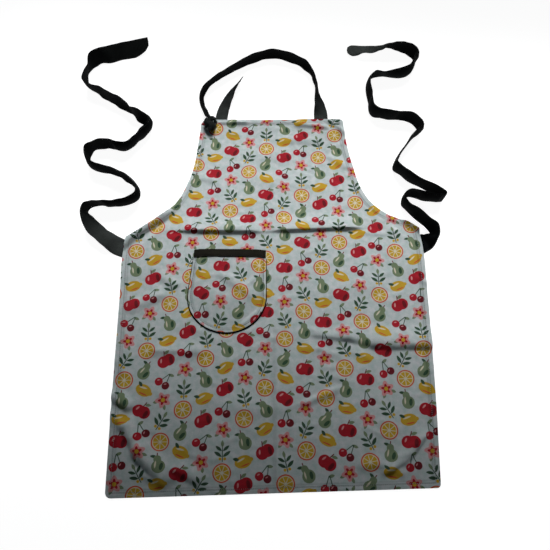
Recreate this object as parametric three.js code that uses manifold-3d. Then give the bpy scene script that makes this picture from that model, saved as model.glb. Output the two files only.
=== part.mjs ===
// A bib apron of printed cotton, laid flat with its front side up: the body, a patch pocket with
// a dark band and edging, a neck strap knotted at one corner of the bib, and two waist ties that
// lie in waves and mostly stand on edge. Millimetres, +Z up, the hem towards -Y, resting on Z = 0.
import * as THREE from 'three';
import { mergeVertices } from 'three/addons/utils/BufferGeometryUtils.js';
import Module from 'manifold-3d';

const wasm = await Module();
wasm.setup();

// Cloth and strap sizes
const GAP = 0.3; // clearance between pieces that touch
const CLOTH = 1.2; // thickness of the printed cotton
const HEM_WIDTH = 11; // turned hem round the body
const HEM_STEP = 2.5; // slope from the hem down to the single cloth
const HEM_RISE = 0.9; // extra thickness of the hem
const HEM_LINES = 2; // lines of points on the hem, along each edge of the body
const STRAP_THICK = 1.6;
const NECK_STRAP_WIDTH = 32;
const NECK_TAIL_WIDTH = 28; // the strap's end is folded narrower past the knot
const WAIST_TIE_WIDTH = 40;
const WAIST_TIE_SLANT = 24; // slant of the left tie's end
const WAIST_TIE_TIP = 22; // width of the right tie's rounded tip
const STRAP_STEP = 11; // length of one facet along a strap

// Outline of the body, a row for each section across it, from the hem up to the hips
const SKIRT_SECTIONS = [
  { leftX: -307, leftY: -434, rightX: 301, rightY: -416 },
  { leftX: -313, leftY: -250, rightX: 309, rightY: -240 },
  { leftX: -318, leftY: -60, rightX: 313, rightY: -50 },
  { leftX: -321, leftY: 45, rightX: 313, rightY: 60 },
  { leftX: -316, leftY: 82, rightX: 308, rightY: 104 },
];
// and from the hips along the armholes up to the top of the bib
const BIB_SECTIONS = [
  { leftX: -316, leftY: 82, rightX: 308, rightY: 104 },
  { leftX: -284, leftY: 105, rightX: 286, rightY: 120 },
  { leftX: -244, leftY: 137, rightX: 246, rightY: 140 },
  { leftX: -214, leftY: 172, rightX: 212, rightY: 168 },
  { leftX: -197, leftY: 208, rightX: 190, rightY: 206 },
  { leftX: -183, leftY: 256, rightX: 176, rightY: 256 },
  { leftX: -175, leftY: 325, rightX: 163, rightY: 325 },
  { leftX: -170, leftY: 386, rightX: 157, rightY: 388.5 },
];
const CORNER_INSET = 3.5; // how far the four corners are drawn in, along X and along Y
const SKIRT_ROWS = 24;
const BIB_ROWS = 19;
const BODY_COLUMNS = 22;

// Ridges in the body: a crest from one point to another, steep towards the hem (front) and
// gentle towards the bib (back)
const FOLDS = [
  { x0: -215, y0: 100, x1: 215, y1: 108, height: 9, front: 13, back: 46 },
  { x0: 55, y0: -128, x1: 190, y1: -146, height: 6, front: 12, back: 40 },
  { x0: 150, y0: -146, x1: 330, y1: -150, height: 8, front: 13, back: 46 },
  { x0: -300, y0: -335, x1: -205, y1: -418, height: 6, front: 22, back: 30 },
  { x0: 235, y0: -405, x1: 296, y1: -285, height: 5, front: 30, back: 26 },
  { x0: 40, y0: 372, x1: 158, y1: 342, height: 6, front: 14, back: 26 },
  { x0: -255, y0: -150, x1: -70, y1: -160, height: 3, front: 22, back: 30 },
];
const FOLD_FADE = 0.3; // share of a crest's length over which each end dies out

// Places where a strap is sewn behind the body and lifts it off the floor
const SEWN_ENDS = [
  { x: -303, y: 56, plateau: 48, fade: 80 },
  { x: 297, y: 66, plateau: 48, fade: 80 },
  { x: 107, y: 383, plateau: 40, fade: 66 },
  { x: -125, y: 384, plateau: 30, fade: 44 },
];
const SEWN_CLEARANCE = 0.1; // spare room over a sewn strap
const SEWN_RISE = STRAP_THICK + GAP + SEWN_CLEARANCE;

// Patch pocket: straight sides and a round bottom
const POCKET = {
  left: -177.5,
  mouthLeft: -170.5,
  right: -19,
  mouthLeftY: 54,
  mouthRightY: 53,
  roundY: -48, // where the straight sides end
  bottomY: -124,
};
const POCKET_ROOM = 7; // how far the pocket stands off the body inside its seam
const POCKET_RISE_SHARE = 0.45; // share of its height over which it rises from its lower seam
const POCKET_FLATNESS = 6; // power of its section across: a higher one is flatter
const POCKET_COLUMNS = 14;
const POCKET_ROWS = 10;
const BAND_HEIGHT = 16.5;
const BAND_THICK = 1.1;
const EDGING_WIDTH = 2.4;
const EDGING_THICK = 1.3;
const EDGING_SIDE_STEPS = 4; // facets on each straight side of the edging

// Straps: the middle of the strap on the floor and its tilt in degrees, a row for each section.
// A tilt of 0 lies flat and 90 stands on edge with the strap's left side up, seen along its route.
const NECK_STRAP = [
  { x: 107, y: 374, tilt: 0 },
  { x: 107, y: 399, tilt: 0 },
  { x: 105, y: 427, tilt: 36 },
  { x: 99, y: 460, tilt: 66 },
  { x: 93, y: 492, tilt: 82 },
  { x: 85, y: 517, tilt: 84 },
  { x: 68, y: 540, tilt: 92 },
  { x: 36, y: 559, tilt: 92 },
  { x: -5, y: 570, tilt: 90 },
  { x: -50, y: 557, tilt: 90 },
  { x: -108, y: 521, tilt: 80 },
  { x: -151, y: 485, tilt: 76 },
  { x: -167.5, y: 456, tilt: 88 },
  { x: -168.5, y: 430, tilt: 101 },
  { x: -162, y: 407, tilt: 110 },
  { x: -154, y: 387.2, tilt: 112 },
];
const NECK_TAIL = [
  { x: -126, y: 372, tilt: 0 },
  { x: -124, y: 399, tilt: 0 },
  { x: -120, y: 417, tilt: -12 },
  { x: -111, y: 442, tilt: -28 },
  { x: -100, y: 466, tilt: -44 },
  { x: -89, y: 483, tilt: -58 },
  { x: -79, y: 496, tilt: -67 },
];
const WAIST_TIE_LEFT = [
  { x: -288, y: 50, tilt: 0 },
  { x: -331, y: 64, tilt: 0 },
  { x: -354, y: 78, tilt: 21 },
  { x: -382, y: 100, tilt: 32 },
  { x: -401, y: 127, tilt: 58 },
  { x: -407, y: 148, tilt: 88 },
  { x: -394, y: 157, tilt: 102 },
  { x: -353, y: 159, tilt: 99 },
  { x: -318, y: 165, tilt: 96 },
  { x: -300, y: 180, tilt: 92 },
  { x: -313, y: 208, tilt: 88 },
  { x: -358, y: 237, tilt: 84 },
  { x: -402, y: 251, tilt: 88 },
  { x: -424, y: 279, tilt: 90 },
  { x: -408, y: 306, tilt: 96 },
  { x: -380, y: 310, tilt: 89 },
  { x: -336, y: 304, tilt: 98 },
  { x: -313, y: 325, tilt: 97 },
  { x: -289, y: 365, tilt: 92 },
  { x: -311, y: 384, tilt: 96 },
  { x: -333, y: 401, tilt: 84 },
  { x: -354, y: 418, tilt: 99 },
  { x: -407, y: 452, tilt: 94 },
  { x: -430, y: 466, tilt: 78 },
  { x: -445, y: 478, tilt: 78 },
  { x: -446, y: 521, tilt: 102 },
  { x: -434, y: 553, tilt: 76 },
  { x: -393, y: 572, tilt: 47 },
  { x: -318, y: 594, tilt: 41 },
];
const WAIST_TIE_RIGHT = [
  { x: 280, y: 52, tilt: 180 },
  { x: 320, y: 75, tilt: 180 },
  { x: 331, y: 84, tilt: 136 },
  { x: 337, y: 97, tilt: 104 },
  { x: 326, y: 110, tilt: 102 },
  { x: 304, y: 133, tilt: 97 },
  { x: 285, y: 151, tilt: 84 },
  { x: 277, y: 168, tilt: 90 },
  { x: 291, y: 183, tilt: 94 },
  { x: 331, y: 174, tilt: 92 },
  { x: 366, y: 173, tilt: 90 },
  { x: 354, y: 186, tilt: 91 },
  { x: 300, y: 221, tilt: 90 },
  { x: 270, y: 249, tilt: 94 },
  { x: 278, y: 282, tilt: 93 },
  { x: 304, y: 323, tilt: 94 },
  { x: 335, y: 358, tilt: 92 },
  { x: 314, y: 378, tilt: 90 },
  { x: 257, y: 390, tilt: 84 },
  { x: 227, y: 401, tilt: 90 },
  { x: 222, y: 440, tilt: 90 },
  { x: 221, y: 480, tilt: 90 },
  { x: 235, y: 504, tilt: 103 },
  { x: 259, y: 507, tilt: 114 },
  { x: 300, y: 510, tilt: 92 },
  { x: 329, y: 530, tilt: 92 },
  { x: 337, y: 562, tilt: 96 },
  { x: 326, y: 583, tilt: 92 },
  { x: 304, y: 591, tilt: 66 },
  { x: 283, y: 592, tilt: 39 },
  { x: 255, y: 591, tilt: 31 },
  { x: 225, y: 590, tilt: 23 },
  { x: 176, y: 591, tilt: 18 },
];

// Knot: a core of bunched strap and the turns wrapped round it. A turn is a flattened ring that
// stands across the strap, turned in degrees about the vertical.
const KNOT_CORE = { x: -149, y: 366, z: 14.6, sizeX: 23, sizeY: 45, sizeZ: 18 };
const KNOT_CORE_SEGMENTS = 14;
const KNOT_CORE_RINGS = 8;
const KNOT_TURNS = [
  { x: -149, y: 352, z: 14.6, turn: 24 },
  { x: -147, y: 363, z: 15.2, turn: -28 },
  { x: -147, y: 375, z: 14.8, turn: 12 },
];
const KNOT_RING = { radius: 8.6, tube: 3.8, stretch: 1.6, flatten: 0.78, sides: 8, segments: 18 };

const printedCotton = new THREE.MeshStandardMaterial({ color: 0xb9c3c4, roughness: 0.85, metalness: 0 });
const blackCotton = new THREE.MeshStandardMaterial({ color: 0x1a1c1c, roughness: 0.8, metalness: 0 });
const bandCotton = new THREE.MeshStandardMaterial({ color: 0x231f1a, roughness: 0.8, metalness: 0 });

function smooth(value) {
  const t = THREE.MathUtils.clamp(value, 0, 1);
  return t * t * (3 - 2 * t);
}

// Height of one fold above the floor at a point of the body
function foldHeight(fold, x, y) {
  const alongX = fold.x1 - fold.x0;
  const alongY = fold.y1 - fold.y0;
  const length = Math.hypot(alongX, alongY);
  const along = ((x - fold.x0) * alongX + (y - fold.y0) * alongY) / (length * length);
  const across = ((y - fold.y0) * alongX - (x - fold.x0) * alongY) / length;
  const ends = smooth(along / FOLD_FADE) * smooth((1 - along) / FOLD_FADE);
  const flank = across > 0 ? fold.back : fold.front;
  return fold.height * ends * smooth(1 - Math.abs(across) / flank);
}

function sewnRise(end, x, y) {
  const distance = Math.hypot(x - end.x, y - end.y);
  return SEWN_RISE * smooth((end.fade - distance) / (end.fade - end.plateau));
}

// Underside of the body: flat on the floor except over folds and sewn straps
function bodyUnderside(x, y) {
  const folds = FOLDS.reduce((sum, fold) => sum + foldHeight(fold, x, y), 0);
  const lifted = Math.max(...SEWN_ENDS.map((end) => sewnRise(end, x, y)));
  return Math.max(folds, lifted);
}

function bodyTop(x, y) {
  return bodyUnderside(x, y) + CLOTH;
}

// A closed solid between an upper and a lower grid of points of the same size
function sheetGeometry(upper, lower) {
  const rows = upper.length;
  const columns = upper[0].length;
  const points = [...upper.flat(), ...lower.flat()];
  const top = (row, column) => row * columns + column;
  const under = (row, column) => (rows + row) * columns + column;
  const index = [];
  const quad = (a, b, c, d) => index.push(a, b, c, a, c, d);
  for (let row = 0; row < rows - 1; row += 1) {
    for (let column = 0; column < columns - 1; column += 1) {
      quad(top(row, column), top(row, column + 1), top(row + 1, column + 1), top(row + 1, column));
      quad(under(row, column), under(row + 1, column), under(row + 1, column + 1), under(row, column + 1));
    }
  }
  for (let column = 0; column < columns - 1; column += 1) {
    const last = rows - 1;
    quad(under(0, column), under(0, column + 1), top(0, column + 1), top(0, column));
    quad(top(last, column), top(last, column + 1), under(last, column + 1), under(last, column));
  }
  for (let row = 0; row < rows - 1; row += 1) {
    const last = columns - 1;
    quad(top(row, 0), top(row + 1, 0), under(row + 1, 0), under(row, 0));
    quad(under(row, last), under(row + 1, last), top(row + 1, last), top(row, last));
  }
  const geometry = new THREE.BufferGeometry().setFromPoints(points);
  geometry.setIndex(index);
  geometry.computeVertexNormals();
  return geometry;
}

function edgeCurve(sections, side) {
  const points = sections.map((row) => new THREE.Vector3(row[`${side}X`], row[`${side}Y`], 0));
  return new THREE.CatmullRomCurve3(points, false, 'centripetal');
}

// Left and right edge points of every row of the body, from the hem to the top of the bib
function bodyEdgeRows() {
  const rows = [];
  const addRows = (sections, shares) => {
    const left = edgeCurve(sections, 'left');
    const right = edgeCurve(sections, 'right');
    shares.forEach((share) => rows.push({ left: left.getPointAt(share), right: right.getPointAt(share) }));
  };
  const evenShares = (count) => Array.from({ length: count - 1 }, (_, i) => (i + 1) / count);
  const skirtLength = edgeCurve(SKIRT_SECTIONS, 'left').getLength();
  const bibLength = edgeCurve(BIB_SECTIONS, 'left').getLength();
  const hemRows = [0, HEM_WIDTH, HEM_WIDTH + HEM_STEP];
  addRows(SKIRT_SECTIONS, hemRows.map((distance) => distance / skirtLength));
  addRows(SKIRT_SECTIONS, evenShares(SKIRT_ROWS));
  addRows(BIB_SECTIONS, [0, ...evenShares(BIB_ROWS)]);
  addRows(BIB_SECTIONS, hemRows.toReversed().map((distance) => 1 - distance / bibLength));
  return rows;
}

// Shares across a row at which its points lie: the hem's two lines at each side, even between
function columnShares(width) {
  const inner = (HEM_WIDTH + HEM_STEP) / width;
  const hem = [0, HEM_WIDTH / width, inner];
  const step = (1 - 2 * inner) / BODY_COLUMNS;
  const even = Array.from({ length: BODY_COLUMNS - 1 }, (_, i) => inner + step * (i + 1));
  return [...hem, ...even, ...hem.toReversed().map((share) => 1 - share)];
}

function apronBody() {
  const onHem = (line, lines) => line < HEM_LINES || line >= lines - HEM_LINES;
  const rows = bodyEdgeRows();
  const upper = [];
  const lower = [];
  rows.forEach((row, rowNumber) => {
    const shares = columnShares(row.left.distanceTo(row.right));
    const hemRow = onHem(rowNumber, rows.length);
    const endRow = rowNumber === 0 || rowNumber === rows.length - 1;
    upper.push([]);
    lower.push([]);
    shares.forEach((share, columnNumber) => {
      const point = row.left.clone().lerp(row.right, share);
      const endColumn = columnNumber === 0 || columnNumber === shares.length - 1;
      const hemColumn = onHem(columnNumber, shares.length);
      if (endRow && endColumn) {
        point.x += columnNumber === 0 ? CORNER_INSET : -CORNER_INSET;
        point.y += rowNumber === 0 ? CORNER_INSET : -CORNER_INSET;
      }
      const floor = bodyUnderside(point.x, point.y);
      const thickness = hemRow || hemColumn ? CLOTH + HEM_RISE : CLOTH;
      lower.at(-1).push(new THREE.Vector3(point.x, point.y, floor));
      upper.at(-1).push(new THREE.Vector3(point.x, point.y, floor + thickness));
    });
  });
  return sheetGeometry(upper, lower);
}

// A point of the pocket's outline: across runs from -1 at the left seam to 1 at the right one, and
// up from 0 at the round lower seam to 1 at the mouth
function pocketPlace(across, up) {
  const roundDepth = POCKET.roundY - POCKET.bottomY;
  const seamY = POCKET.roundY - roundDepth * Math.sqrt(Math.max(0, 1 - across * across));
  const mouthY = THREE.MathUtils.lerp(POCKET.mouthLeftY, POCKET.mouthRightY, (across + 1) / 2);
  const y = THREE.MathUtils.lerp(seamY, mouthY, up);
  const sideShare = (y - POCKET.roundY) / (mouthY - POCKET.roundY);
  const leftX = THREE.MathUtils.lerp(POCKET.left, POCKET.mouthLeft, smooth(sideShare));
  return new THREE.Vector2(THREE.MathUtils.lerp(leftX, POCKET.right, (across + 1) / 2), y);
}

// How far the pocket stands off the body: none along its seam, most in the middle of its mouth
function pocketStandOff(across, up) {
  return GAP + POCKET_ROOM * (1 - across ** POCKET_FLATNESS) * smooth(up / POCKET_RISE_SHARE);
}

function pocketPoint(across, up, lift) {
  const { x, y } = pocketPlace(across, up);
  return new THREE.Vector3(x, y, bodyTop(x, y) + pocketStandOff(across, up) + lift);
}

// Places across the pocket, closer together towards the sides where the seam turns up
function pocketAcross() {
  return Array.from({ length: POCKET_COLUMNS + 1 }, (_, i) => -Math.cos((Math.PI * i) / POCKET_COLUMNS));
}

function pocketPanel() {
  const ups = Array.from({ length: POCKET_ROWS + 1 }, (_, i) => i / POCKET_ROWS);
  const grid = (lift) => ups.map((up) => pocketAcross().map((across) => pocketPoint(across, up, lift)));
  return sheetGeometry(grid(CLOTH), grid(0));
}

// Band over the pocket's mouth: a strip on its face, with a lip over the pocket's top edge.
// Each row of its section is a distance up from the mouth and a height above the pocket's back.
function pocketBand() {
  const face = CLOTH + GAP;
  const inside = [
    { up: -BAND_HEIGHT, lift: face },
    { up: -BAND_HEIGHT / 2, lift: face },
    { up: GAP, lift: face },
    { up: GAP, lift: 0 },
  ];
  const outside = [
    { up: -BAND_HEIGHT, lift: face + BAND_THICK },
    { up: -BAND_HEIGHT / 2, lift: face + BAND_THICK },
    { up: GAP + BAND_THICK, lift: face + BAND_THICK },
    { up: GAP + BAND_THICK, lift: 0 },
  ];
  const grid = (section) => section.map((row) => pocketAcross().map((across) => {
    const side = pocketPlace(across, 1).y - pocketPlace(across, 0).y;
    const point = pocketPoint(across, Math.min(1, 1 + row.up / side), row.lift);
    point.y = pocketPlace(across, 1).y + row.up;
    return point;
  }));
  return sheetGeometry(grid(outside), grid(inside));
}

// Edging: a narrow strip on the body round the pocket's seam, from below the band on one side to
// below it on the other
function pocketEdging() {
  const sideLength = POCKET.mouthLeftY - POCKET.roundY;
  const topUp = 1 - (BAND_HEIGHT + GAP) / sideLength;
  const sideUps = Array.from({ length: EDGING_SIDE_STEPS }, (_, i) => topUp * (1 - i / EDGING_SIDE_STEPS));
  const outline = [
    ...sideUps.map((up) => pocketPlace(-1, up)),
    ...pocketAcross().map((across) => pocketPlace(across, 0)),
    ...sideUps.toReversed().map((up) => pocketPlace(1, up)),
  ];
  const line = (offset, lift) => outline.map((point, i) => {
    const before = outline[Math.max(0, i - 1)];
    const after = outline[Math.min(outline.length - 1, i + 1)];
    const along = after.clone().sub(before).normalize();
    const x = point.x + along.y * offset;
    const y = point.y - along.x * offset;
    return new THREE.Vector3(x, y, bodyTop(x, y) + GAP + lift);
  });
  const inner = 2 * GAP;
  const outer = inner + EDGING_WIDTH;
  const upper = [line(outer, EDGING_THICK), line(inner, EDGING_THICK)];
  const lower = [line(outer, 0), line(inner, 0)];
  return sheetGeometry(upper, lower);
}

// A strap of one width along a route on the floor, tilted from row to row. Its free end may be
// narrower, and cut on a slant, so that its left edge is longer than its right edge by that much.
function strapGeometry(rows, width, endWidth, slant) {
  const points = rows.map((row) => new THREE.Vector3(row.x, row.y, 0));
  const route = new THREE.CatmullRomCurve3(points, false, 'centripetal');
  const steps = Math.round(route.getLength() / STRAP_STEP);
  const sections = [];
  for (let step = 0; step <= steps; step += 1) {
    const share = route.getUtoTmapping(step / steps);
    const place = share * (rows.length - 1);
    const row = Math.min(Math.floor(place), rows.length - 2);
    const tilt = THREE.MathUtils.lerp(rows[row].tilt, rows[row + 1].tilt, smooth(place - row));
    const last = step === steps;
    const wide = last ? endWidth : width;
    sections.push(strapSection(route.getPoint(share), route.getTangent(share), tilt, wide, last ? slant : 0));
  }
  return sheetGeometry(sections.map((section) => section.upper), sections.map((section) => section.lower));
}

// The four corners of a strap's section, with its lowest edge on the floor
function strapSection(middle, along, tiltDegrees, width, slant) {
  const tilt = THREE.MathUtils.degToRad(tiltDegrees);
  const toLeft = new THREE.Vector3(-along.y, along.x, 0).normalize();
  const up = new THREE.Vector3(0, 0, 1);
  const across = toLeft.clone().multiplyScalar(Math.cos(tilt)).addScaledVector(up, Math.sin(tilt));
  const face = toLeft.clone().multiplyScalar(-Math.sin(tilt)).addScaledVector(up, Math.cos(tilt));
  const height = (width / 2) * Math.abs(Math.sin(tilt)) + (STRAP_THICK / 2) * Math.abs(Math.cos(tilt));
  const centre = middle.clone().setZ(height);
  const corner = (side, layer) => centre.clone()
    .addScaledVector(across, (side * width) / 2)
    .addScaledVector(along, (side * slant) / 2)
    .addScaledVector(face, (layer * STRAP_THICK) / 2);
  return { upper: [corner(1, 1), corner(-1, 1)], lower: [corner(1, -1), corner(-1, -1)] };
}

function solidFrom(geometry) {
  const bare = geometry.clone();
  bare.deleteAttribute('normal');
  bare.deleteAttribute('uv');
  const merged = mergeVertices(bare);
  return new wasm.Manifold(new wasm.Mesh({
    numProp: 3,
    vertProperties: new Float32Array(merged.attributes.position.array),
    triVerts: new Uint32Array(merged.index.array),
  }));
}

function geometryFrom(solid) {
  const made = solid.getMesh();
  const geometry = new THREE.BufferGeometry();
  geometry.setAttribute('position', new THREE.BufferAttribute(made.vertProperties, 3));
  geometry.setIndex(new THREE.BufferAttribute(made.triVerts, 1));
  geometry.computeVertexNormals();
  return geometry;
}

function knotCore() {
  const core = new THREE.SphereGeometry(0.5, KNOT_CORE_SEGMENTS, KNOT_CORE_RINGS);
  core.rotateX(Math.PI / 2);
  core.scale(KNOT_CORE.sizeX, KNOT_CORE.sizeY, KNOT_CORE.sizeZ);
  core.translate(KNOT_CORE.x, KNOT_CORE.y, KNOT_CORE.z);
  return solidFrom(core);
}

function knotTurn(place) {
  const ring = new THREE.TorusGeometry(KNOT_RING.radius, KNOT_RING.tube, KNOT_RING.sides, KNOT_RING.segments);
  ring.rotateX(Math.PI / 2);
  ring.scale(1, KNOT_RING.stretch, KNOT_RING.flatten);
  ring.rotateZ(THREE.MathUtils.degToRad(place.turn));
  ring.translate(place.x, place.y, place.z);
  return solidFrom(ring);
}

function neckKnot() {
  const turns = KNOT_TURNS.map(knotTurn);
  return geometryFrom(turns.reduce((joined, turn) => joined.add(turn), knotCore()));
}

const apron = new THREE.Group();

function addPiece(name, geometry, material) {
  const mesh = new THREE.Mesh(geometry, material);
  mesh.name = name;
  apron.add(mesh);
}

addPiece('apron_body', apronBody(), printedCotton);
addPiece('pocket', pocketPanel(), printedCotton);
addPiece('pocket_band', pocketBand(), bandCotton);
addPiece('pocket_edging', pocketEdging(), blackCotton);
addPiece('neck_strap', strapGeometry(NECK_STRAP, NECK_STRAP_WIDTH, NECK_STRAP_WIDTH, 0), blackCotton);
addPiece('neck_knot', neckKnot(), blackCotton);
addPiece('neck_strap_tail', strapGeometry(NECK_TAIL, NECK_TAIL_WIDTH, NECK_TAIL_WIDTH, 0), blackCotton);
const leftTie = strapGeometry(WAIST_TIE_LEFT, WAIST_TIE_WIDTH, WAIST_TIE_WIDTH, WAIST_TIE_SLANT);
addPiece('waist_tie_left', leftTie, blackCotton);
const rightTie = strapGeometry(WAIST_TIE_RIGHT, WAIST_TIE_WIDTH, WAIST_TIE_TIP, 0);
addPiece('waist_tie_right', rightTie, blackCotton);

// The origin is under the middle of the whole apron as it lies, ties included
const middle = new THREE.Box3().setFromObject(apron).getCenter(new THREE.Vector3());
apron.position.set(-middle.x, -middle.y, 0);
apron.updateMatrixWorld(true);

export default apron;
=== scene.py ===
# A bib apron of printed cotton, laid flat on a pale floor with its front side up.
# Lengths are millimetres in the apron's own layout, with the hem towards -Y. Pieces are made in it and
# moved to the row's frame, in metres, when their mesh is written.
import math

import bpy
import numpy as np
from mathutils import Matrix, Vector
from mathutils.kdtree import KDTree


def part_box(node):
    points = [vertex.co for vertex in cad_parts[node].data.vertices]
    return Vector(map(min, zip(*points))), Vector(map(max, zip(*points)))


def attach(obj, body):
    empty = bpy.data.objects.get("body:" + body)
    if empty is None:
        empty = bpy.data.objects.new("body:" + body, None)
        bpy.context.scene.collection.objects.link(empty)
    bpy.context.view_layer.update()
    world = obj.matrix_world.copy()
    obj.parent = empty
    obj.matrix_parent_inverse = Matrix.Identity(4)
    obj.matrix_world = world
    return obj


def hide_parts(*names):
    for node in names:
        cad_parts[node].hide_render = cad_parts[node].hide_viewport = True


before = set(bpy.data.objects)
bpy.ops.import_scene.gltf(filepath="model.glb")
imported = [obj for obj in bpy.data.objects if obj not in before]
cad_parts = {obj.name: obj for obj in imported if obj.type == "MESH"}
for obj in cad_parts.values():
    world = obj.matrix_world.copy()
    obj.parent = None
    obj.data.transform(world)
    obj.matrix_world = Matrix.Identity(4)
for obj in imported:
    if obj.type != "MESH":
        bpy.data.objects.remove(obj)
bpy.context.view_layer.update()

MM = 0.001

# Cloth, hems and stitches
GAP = 0.3  # clear space between pieces
CLOTH = 1.0
HEM_WIDTH = 11.0
HEM_STEP = 2.0  # slope down to the single cloth
HEM_RISE = 0.9
HEM_STITCH = 9.0  # from the edge to the line of stitches
GROOVE = (0.5, 0.9)  # depth and width of the line under the stitches
PUCKERS = (0.42, 7.0)  # height, and how far they run from the stitches
PUCKER_WAVES = (5.0, 11)  # size and seed
STITCH_SHADE = (1.0, 1.0)  # darkness and width of the shade painted along the stitches
FOOT_SHADE = (0.55, 1.6)  # and of the shade painted at the foot of the hem
FAR_INSIDE = 100.0  # far enough from the edge to have no hem
TINY = 1e-9
UP = np.array([0.0, 0.0, 1.0])

# Straps
STRAP_THICK = 1.6
NECK_STRAP_WIDTH = 32.0
NECK_TAIL_WIDTH = 28.0
WAIST_TIE_WIDTH = 40.0
SLANT = (40.0, 0.3, 4)  # cut end: length, share of it past the path's end, and power
ROUND = (14.0, 3)  # round end: length and power
STRAP_STEP = 2.5
STRAP_STITCH = 3.0
STRAP_BARE = 2  # steps without stitches at each end
STRAP_GROOVE = (0.25, 0.8)
STRAP_EDGE = 0.93  # share of the half width from which the edge is round
STRAP_SEWN = 45.0  # length that lies still at its sewn end
STRAP_SETTLE = 60.0  # length over which ripples set in, and die out at the far end
STRAP_SHAPED = 45.0  # length drawn to the shape of the end
STRAP_BUNCHED = 0.2  # how much narrower it is at its knot
STRAP_EASE = (15, 16.0)  # steps either way, and width, over which bends are evened out
STRAP_CUP = 0.17  # how far a standing strap bows out of a bend, for its width
STRAP_CUP_BEND = 300.0  # radius of the bend that gives half of that
STRAP_SHARP_BEND = (0.045, 0.08)  # radians a millimetre between which it stops bowing
STRAP_TWIST_CUP = 0.2  # how far it bows where it twists
STRAP_TWIST = 0.01  # radians a millimetre that give half of that
FLAT_LIT_POWER = 4  # power of the tilt's cosine by which a strap is painted lighter where it lies flat and lit
TIP_PAINTED_LIGHT = (2.0, 110.0, 90.0)  # round tip: how much more light is painted on it, from how far before the end, and over what length

# Unevenness: how much, the size of its bumps and its seed, or for straps what is added to theirs
BODY_SWELLS = [(0.45, 70.0, 3), (0.225, 24.0, 5)]
BODY_LIFT = 0.45  # the height about which it swells
BAND_BUMPS = (0.35, 9.0, 21)
BAND_WANDER = (0.25, 16.0, 23)
STRAP_BOW = (1.5, 38.0, 0)
STRAP_CRUMPLE = (0.245, 9.0, 1)
STRAP_SWAY = (math.radians(6.0), 19.0, 2)  # of its tilt
STRAP_BREADTH = (0.07, 15.0, 3)  # for its width

# Outline of the body: (left x, left y, right x, right y), from the hem to the hips and on to the bib
SKIRT_SECTIONS = [
    (-307, -434, 301, -416), (-313, -250, 309, -240), (-318, -60, 313, -50), (-321, 45, 313, 60),
    (-316, 82, 308, 104),
]
BIB_SECTIONS = [
    (-316, 82, 308, 104), (-284, 105, 286, 120), (-244, 137, 246, 140), (-214, 172, 212, 168),
    (-197, 208, 190, 206), (-183, 256, 176, 256), (-175, 325, 163, 325), (-170, 386, 157, 388.5),
]
HEM_CORNERS = (11.0, 7.0)  # radius of the left and the right corner
TOP_CORNERS = (13.0, 8.0)
SKIRT_ROWS = 150
BIB_ROWS = 98
BODY_COLUMNS = 156
PRINT_EASE = 24  # columns over which folds pull the print
HEM_LINES = (0.0, 1.2, 4.0, 7.0, 8.4, 9.0, 9.6, 11.0, 13.0)  # lines of points along each edge

# Ridges in the body: crest from (x, y) to (x, y), height, width of its front and of its back, and
# whether its front is steepest half way (soft), at its crest or at its foot
FOLDS = [
    # Across the waist
    (-232, 101, -6, 98, 8.0, 9, 44, "crest"),
    (-34, 99, 208, 109, 7.5, 7, 44, "crest"),
    (170, 97, 270, 89, 2.2, 8, 16, "crest"),
    # Right of the skirt
    (60, -128, 164, -143, 4.0, 7, 30, "crest"),
    (122, -123, 216, -152, 5.0, 12, 40, "foot"),
    (176, -145, 336, -147, 8.0, 14, 44, "foot"),
    # Left side and lower left corner
    (-268, -163, -120, -166, 3.8, 20, 26, "crest"),
    (-322, -242, -268, -277, 7.5, 12, 22, "foot"),
    (-322, -276, -280, -314, 3.6, 18, 12, "soft"),
    (-294, -290, -248, -364, 10.5, 13, 32, "soft"),
    (-270, -344, -186, -415, 12.5, 15, 36, "soft"),
    (-198, -375, -130, -409, 6.8, 13, 26, "soft"),
    (-262, -383, -198, -412, 3.0, 13, 14, "soft"),
    # Lower right corner and middle
    (190, -396, 254, -362, 6.0, 8, 26, "crest"),
    (242, -371, 290, -314, 6.4, 8, 24, "crest"),
    (146, -380, 208, -371, 3.4, 14, 18, "soft"),
    (204, -382, 244, -393, 2.8, 12, 14, "soft"),
    (42, -270, 134, -230, 4.0, 14, 8, "soft"),
    # Lifted edges of the hips
    (-361, 34, -212, 166, 11.0, 19, 60, "soft"),
    (-322, 30, -222, 124, 3.2, 26, 10, "soft"),
    (268, 136, 342, 84, 9.0, 15, 40, "soft"),
    # Round the pocket
    (-308, -82, -212, -36, 4.4, 16, 24, "soft"),
    (-244, 2, -196, -32, 3.2, 14, 20, "soft"),
    (-122, 6, -40, -53, 3.2, 14, 22, "soft"),
    (-72, -116, -18, -70, 2.6, 16, 10, "soft"),
    # Bib
    (-144, 374, -52, 378, 5.2, 10, 13, "crest"),
    (-134, 360, -74, 346, 2.4, 8, 12, "soft"),
    (34, 374, 136, 361, 8.5, 12, 18, "crest"),
    (118, 389, 168, 342, 6.5, 11, 14, "crest"),
    (-12, 331, 128, 328, 3.4, 14, 28, "soft"),
    (116, 293, 172, 250, 3.2, 12, 18, "soft"),
    (-182, 238, -126, 220, 2.4, 12, 18, "soft"),
    # Middle line and right hip
    (-2, -98, 2, -440, 1.8, 6, 6, "soft"),
    (234, 92, 260, 50, 2.6, 9, 14, "soft"),
    (230, 119, 302, 60, 3.2, 14, 22, "soft"),
    (282, 0, 334, -30, 2.8, 10, 14, "soft"),
    # Broad swells
    (-130, 300, 70, 284, 1.8, 24, 36, "soft"),
    (-90, 232, 130, 208, 2.0, 22, 36, "soft"),
    (60, -40, 240, -20, 1.8, 22, 36, "soft"),
    (-150, -262, 60, -286, 1.8, 20, 36, "soft"),
]
FOLD_FADE = 0.25
PRESSED_DARKENING = (0.35, 3.0)  # darkness and width of the pressed line down the middle
PRESSED_TOP = -95.0
PRESSED_FADE = 30.0

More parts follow.
